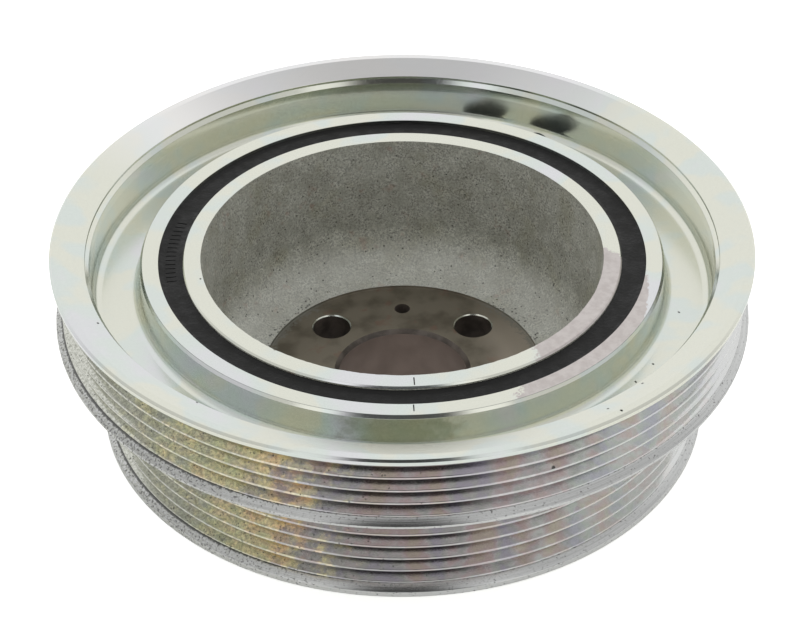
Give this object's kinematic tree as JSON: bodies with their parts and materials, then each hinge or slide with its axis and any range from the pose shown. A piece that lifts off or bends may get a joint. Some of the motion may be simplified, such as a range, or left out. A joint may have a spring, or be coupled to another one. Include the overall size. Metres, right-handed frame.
{
  "type": "harmonic balancer",
  "caption": "Round crankshaft damper pulley: cast cup hub with a bored, drilled floor, bonded rubber ring and a heavy outer ring with two stepped poly-V belt tracks.",
  "frame": {"origin": "on the crankshaft axis, at the crankshaft face under the hub's boss", "axes": "+Z along the crankshaft axis, from the crankshaft face out of the open cup; +Y through the dowel hole"},
  "size_m": [0.167, 0.167, 0.0576],
  "materials": {
    "cast_hub": "sand-cast grey iron, machined bright at the rim and the bolt face",
    "bonded_rubber": "matt moulded black rubber",
    "plated_ring": "fine-turned, bright zinc plated"
  },
  "bodies": {
    "root": {"hub": "cast_hub", "rubber_ring": "bonded_rubber", "pulley_ring": "plated_ring"}
  },
  "joints": []
}
